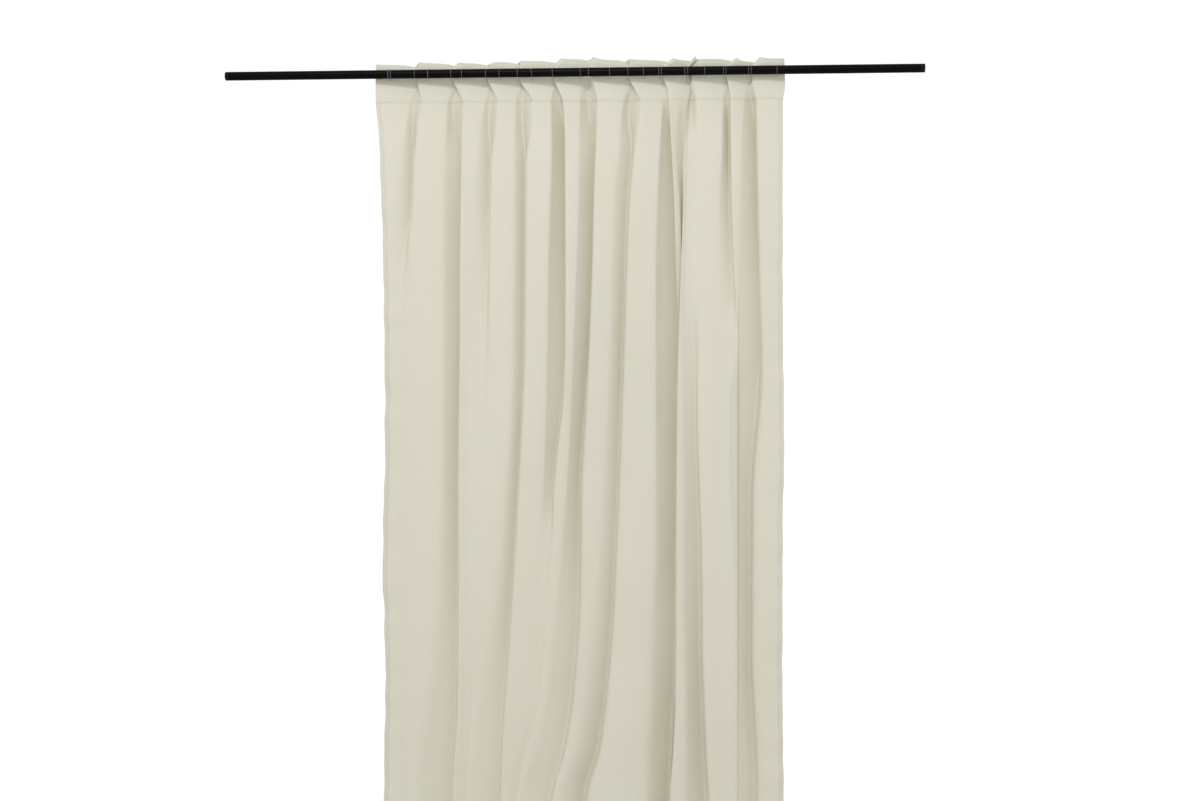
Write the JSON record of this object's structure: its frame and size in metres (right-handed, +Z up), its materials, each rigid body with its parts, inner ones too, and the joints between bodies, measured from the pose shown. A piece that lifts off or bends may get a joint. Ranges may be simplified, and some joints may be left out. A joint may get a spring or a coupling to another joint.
{
  "type": "curtain on a rod",
  "caption": "Gathered cream curtain panel with a pleated heading tape, hung by thin thread loops on a plain round black rod with flush end caps.",
  "frame": {"origin": "on the rod's axis, in the middle of the left end seat, the collar of the left end cap, 5 mm in from the rod's left end face", "axes": "+X along the rod to its right end, +Z up; the cloth hangs on the +Y side of the rod, so a view along +Y sees the rod in front of the cloth"},
  "size_m": [1.6, 0.0737, 2.4],
  "materials": {
    "rod_black": "satin black powder coat",
    "cap_black": "satin black moulded plastic",
    "cloth": "plain woven cream cloth, matte",
    "tape": "woven heading tape, cream white",
    "thread": "clear white nylon thread"
  },
  "bodies": {
    "rod": {"rod_tube": "rod_black", "end_cap_left": "cap_black", "end_cap_right": "cap_black"},
    "lead_loop": {"thread_loop_01": "thread"},
    "bay_01": {"cloth_bay_01": "cloth", "heading_tape_01": "tape"},
    "bay_02": {"cloth_bay_02": "cloth", "heading_tape_02": "tape"},
    "bay_03": {"cloth_bay_03": "cloth", "heading_tape_03": "tape"},
    "bay_04": {"cloth_bay_04": "cloth", "heading_tape_04": "tape"},
    "bay_05": {"cloth_bay_05": "cloth", "heading_tape_05": "tape"},
    "bay_06": {"cloth_bay_06": "cloth", "heading_tape_06": "tape"},
    "bay_07": {"cloth_bay_07": "cloth", "heading_tape_07": "tape"},
    "bay_08": {"cloth_bay_08": "cloth", "heading_tape_08": "tape"},
    "bay_09": {"cloth_bay_09": "cloth", "heading_tape_09": "tape"},
    "bay_10": {"cloth_bay_10": "cloth", "heading_tape_10": "tape"},
    "bay_11": {"cloth_bay_11": "cloth", "heading_tape_11": "tape"},
    "bay_12": {"cloth_bay_12": "cloth", "heading_tape_12": "tape"},
    "loop_02": {"thread_loop_02": "thread"},
    "loop_03": {"thread_loop_03": "thread"},
    "loop_04": {"thread_loop_04": "thread"},
    "loop_05": {"thread_loop_05": "thread"},
    "loop_06": {"thread_loop_06": "thread"},
    "loop_07": {"thread_loop_07": "thread"},
    "loop_08": {"thread_loop_08": "thread"},
    "loop_09": {"thread_loop_09": "thread"},
    "loop_10": {"thread_loop_10": "thread"},
    "loop_11": {"thread_loop_11": "thread"},
    "loop_12": {"thread_loop_12": "thread"},
    "loop_13": {"thread_loop_13": "thread"},
    "loop_14": {"thread_loop_14": "thread"},
    "loop_15": {"thread_loop_15": "thread"},
    "loop_16": {"thread_loop_16": "thread"},
    "loop_17": {"thread_loop_17": "thread"},
    "loop_18": {"thread_loop_18": "thread"},
    "loop_19": {"thread_loop_19": "thread"},
    "loop_20": {"thread_loop_20": "thread"},
    "loop_21": {"thread_loop_21": "thread"},
    "loop_22": {"thread_loop_22": "thread"},
    "loop_23": {"thread_loop_23": "thread"},
    "loop_24": {"thread_loop_24": "thread"},
    "loop_25": {"thread_loop_25": "thread"},
    "loop_26": {"thread_loop_26": "thread"}
  },
  "joints": [
    {"name": "glide", "type": "slide", "parent": "rod", "child": "lead_loop", "axis": [1, 0, 0], "range_m": [-0.3, 0.25]},
    {"name": "swing", "type": "hinge", "parent": "lead_loop", "child": "bay_01", "pos_m": [0.375, 0, 0], "axis": [1, 0, 0], "range_deg": [-12, 12]},
    {"name": "draw", "type": "slide", "parent": "bay_01", "child": "bay_12", "axis": [1, 0, 0], "range_m": [-0.54, 0]},
    {"name": "draw_bay_02", "type": "slide", "parent": "bay_01", "child": "bay_02", "axis": [1, 0, 0], "range_m": [-0.03969, 0]},
    {"name": "draw_bay_03", "type": "slide", "parent": "bay_01", "child": "bay_03", "axis": [1, 0, 0], "range_m": [-0.09434, 0]},
    {"name": "draw_bay_04", "type": "slide", "parent": "bay_01", "child": "bay_04", "axis": [1, 0, 0], "range_m": [-0.14639, 0]},
    {"name": "draw_bay_05", "type": "slide", "parent": "bay_01", "child": "bay_05", "axis": [1, 0, 0], "range_m": [-0.19388, 0]},
    {"name": "draw_bay_06", "type": "slide", "parent": "bay_01", "child": "bay_06", "axis": [1, 0, 0], "range_m": [-0.24593, 0]},
    {"name": "draw_bay_07", "type": "slide", "parent": "bay_01", "child": "bay_07", "axis": [1, 0, 0], "range_m": [-0.29993, 0]},
    {"name": "draw_bay_08", "type": "slide", "parent": "bay_01", "child": "bay_08", "axis": [1, 0, 0], "range_m": [-0.35784, 0]},
    {"name": "draw_bay_09", "type": "slide", "parent": "bay_01", "child": "bay_09", "axis": [1, 0, 0], "range_m": [-0.40793, 0]},
    {"name": "draw_bay_10", "type": "slide", "parent": "bay_01", "child": "bay_10", "axis": [1, 0, 0], "range_m": [-0.44632, 0]},
    {"name": "draw_bay_11", "type": "slide", "parent": "bay_01", "child": "bay_11", "axis": [1, 0, 0], "range_m": [-0.50292, 0]},
    {"name": "draw_loop_02", "type": "slide", "parent": "bay_01", "child": "loop_02", "axis": [1, 0, 0], "range_m": [-0.00391, 0]},
    {"name": "draw_loop_03", "type": "slide", "parent": "bay_01", "child": "loop_03", "axis": [1, 0, 0], "range_m": [-0.03969, 0]},
    {"name": "draw_loop_04", "type": "slide", "parent": "bay_01", "child": "loop_04", "axis": [1, 0, 0], "range_m": [-0.05986, 0]},
    {"name": "draw_loop_05", "type": "slide", "parent": "bay_01", "child": "loop_05", "axis": [1, 0, 0], "range_m": [-0.09434, 0]},
    {"name": "draw_loop_06", "type": "slide", "parent": "bay_01", "child": "loop_06", "axis": [1, 0, 0], "range_m": [-0.11061, 0]},
    {"name": "draw_loop_07", "type": "slide", "parent": "bay_01", "child": "loop_07", "axis": [1, 0, 0], "range_m": [-0.14639, 0]},
    {"name": "draw_loop_08", "type": "slide", "parent": "bay_01", "child": "loop_08", "axis": [1, 0, 0], "range_m": [-0.16656, 0]},
    {"name": "draw_loop_09", "type": "slide", "parent": "bay_01", "child": "loop_09", "axis": [1, 0, 0], "range_m": [-0.19388, 0]},
    {"name": "draw_loop_10", "type": "slide", "parent": "bay_01", "child": "loop_10", "axis": [1, 0, 0], "range_m": [-0.2147, 0]},
    {"name": "draw_loop_11", "type": "slide", "parent": "bay_01", "child": "loop_11", "axis": [1, 0, 0], "range_m": [-0.24593, 0]},
    {"name": "draw_loop_12", "type": "slide", "parent": "bay_01", "child": "loop_12", "axis": [1, 0, 0], "range_m": [-0.28757, 0]},
    {"name": "draw_loop_13", "type": "slide", "parent": "bay_01", "child": "loop_13", "axis": [1, 0, 0], "range_m": [-0.29993, 0]},
    {"name": "draw_loop_14", "type": "slide", "parent": "bay_01", "child": "loop_14", "axis": [1, 0, 0], "range_m": [-0.33116, 0]},
    {"name": "draw_loop_15", "type": "slide", "parent": "bay_01", "child": "loop_15", "axis": [1, 0, 0], "range_m": [-0.35784, 0]},
    {"name": "draw_loop_16", "type": "slide", "parent": "bay_01", "child": "loop_16", "axis": [1, 0, 0], "range_m": [-0.38126, 0]},
    {"name": "draw_loop_17", "type": "slide", "parent": "bay_01", "child": "loop_17", "axis": [1, 0, 0], "range_m": [-0.40403, 0]},
    {"name": "draw_loop_18", "type": "slide", "parent": "bay_01", "child": "loop_18", "axis": [1, 0, 0], "range_m": [-0.40793, 0]},
    {"name": "draw_loop_19", "type": "slide", "parent": "bay_01", "child": "loop_19", "axis": [1, 0, 0], "range_m": [-0.44241, 0]},
    {"name": "draw_loop_20", "type": "slide", "parent": "bay_01", "child": "loop_20", "axis": [1, 0, 0], "range_m": [-0.44632, 0]},
    {"name": "draw_loop_21", "type": "slide", "parent": "bay_01", "child": "loop_21", "axis": [1, 0, 0], "range_m": [-0.47169, 0]},
    {"name": "draw_loop_22", "type": "slide", "parent": "bay_01", "child": "loop_22", "axis": [1, 0, 0], "range_m": [-0.49902, 0]},
    {"name": "draw_loop_23", "type": "slide", "parent": "bay_01", "child": "loop_23", "axis": [1, 0, 0], "range_m": [-0.50292, 0]},
    {"name": "draw_loop_24", "type": "slide", "parent": "bay_01", "child": "loop_24", "axis": [1, 0, 0], "range_m": [-0.5361, 0]},
    {"name": "draw_loop_25", "type": "slide", "parent": "bay_01", "child": "loop_25", "axis": [1, 0, 0], "range_m": [-0.54001, 0]},
    {"name": "draw_loop_26", "type": "slide", "parent": "bay_01", "child": "loop_26", "axis": [1, 0, 0], "range_m": [-0.57774, 0]}
  ],
  "couplings": [
    {"joint": "draw_bay_02", "follows": "draw", "ratio": 0.073494},
    {"joint": "draw_bay_03", "follows": "draw", "ratio": 0.1747},
    {"joint": "draw_bay_04", "follows": "draw", "ratio": 0.27108},
    {"joint": "draw_bay_05", "follows": "draw", "ratio": 0.35904},
    {"joint": "draw_bay_06", "follows": "draw", "ratio": 0.45542},
    {"joint": "draw_bay_07", "follows": "draw", "ratio": 0.55542},
    {"joint": "draw_bay_08", "follows": "draw", "ratio": 0.66265},
    {"joint": "draw_bay_09", "follows": "draw", "ratio": 0.75542},
    {"joint": "draw_bay_10", "follows": "draw", "ratio": 0.82651},
    {"joint": "draw_bay_11", "follows": "draw", "ratio": 0.93132},
    {"joint": "draw_loop_02", "follows": "draw", "ratio": 0.007229},
    {"joint": "draw_loop_03", "follows": "draw", "ratio": 0.073494},
    {"joint": "draw_loop_04", "follows": "draw", "ratio": 0.11084},
    {"joint": "draw_loop_05", "follows": "draw", "ratio": 0.1747},
    {"joint": "draw_loop_06", "follows": "draw", "ratio": 0.20482},
    {"joint": "draw_loop_07", "follows": "draw", "ratio": 0.27108},
    {"joint": "draw_loop_08", "follows": "draw", "ratio": 0.30843},
    {"joint": "draw_loop_09", "follows": "draw", "ratio": 0.35904},
    {"joint": "draw_loop_10", "follows": "draw", "ratio": 0.39759},
    {"joint": "draw_loop_11", "follows": "draw", "ratio": 0.45542},
    {"joint": "draw_loop_12", "follows": "draw", "ratio": 0.53253},
    {"joint": "draw_loop_13", "follows": "draw", "ratio": 0.55542},
    {"joint": "draw_loop_14", "follows": "draw", "ratio": 0.61325},
    {"joint": "draw_loop_15", "follows": "draw", "ratio": 0.66265},
    {"joint": "draw_loop_16", "follows": "draw", "ratio": 0.70602},
    {"joint": "draw_loop_17", "follows": "draw", "ratio": 0.74819},
    {"joint": "draw_loop_18", "follows": "draw", "ratio": 0.75542},
    {"joint": "draw_loop_19", "follows": "draw", "ratio": 0.81928},
    {"joint": "draw_loop_20", "follows": "draw", "ratio": 0.82651},
    {"joint": "draw_loop_21", "follows": "draw", "ratio": 0.87349},
    {"joint": "draw_loop_22", "follows": "draw", "ratio": 0.9241},
    {"joint": "draw_loop_23", "follows": "draw", "ratio": 0.93132},
    {"joint": "draw_loop_24", "follows": "draw", "ratio": 0.99277},
    {"joint": "draw_loop_25", "follows": "draw", "ratio": 1},
    {"joint": "draw_loop_26", "follows": "draw", "ratio": 1.0699}
  ]
}
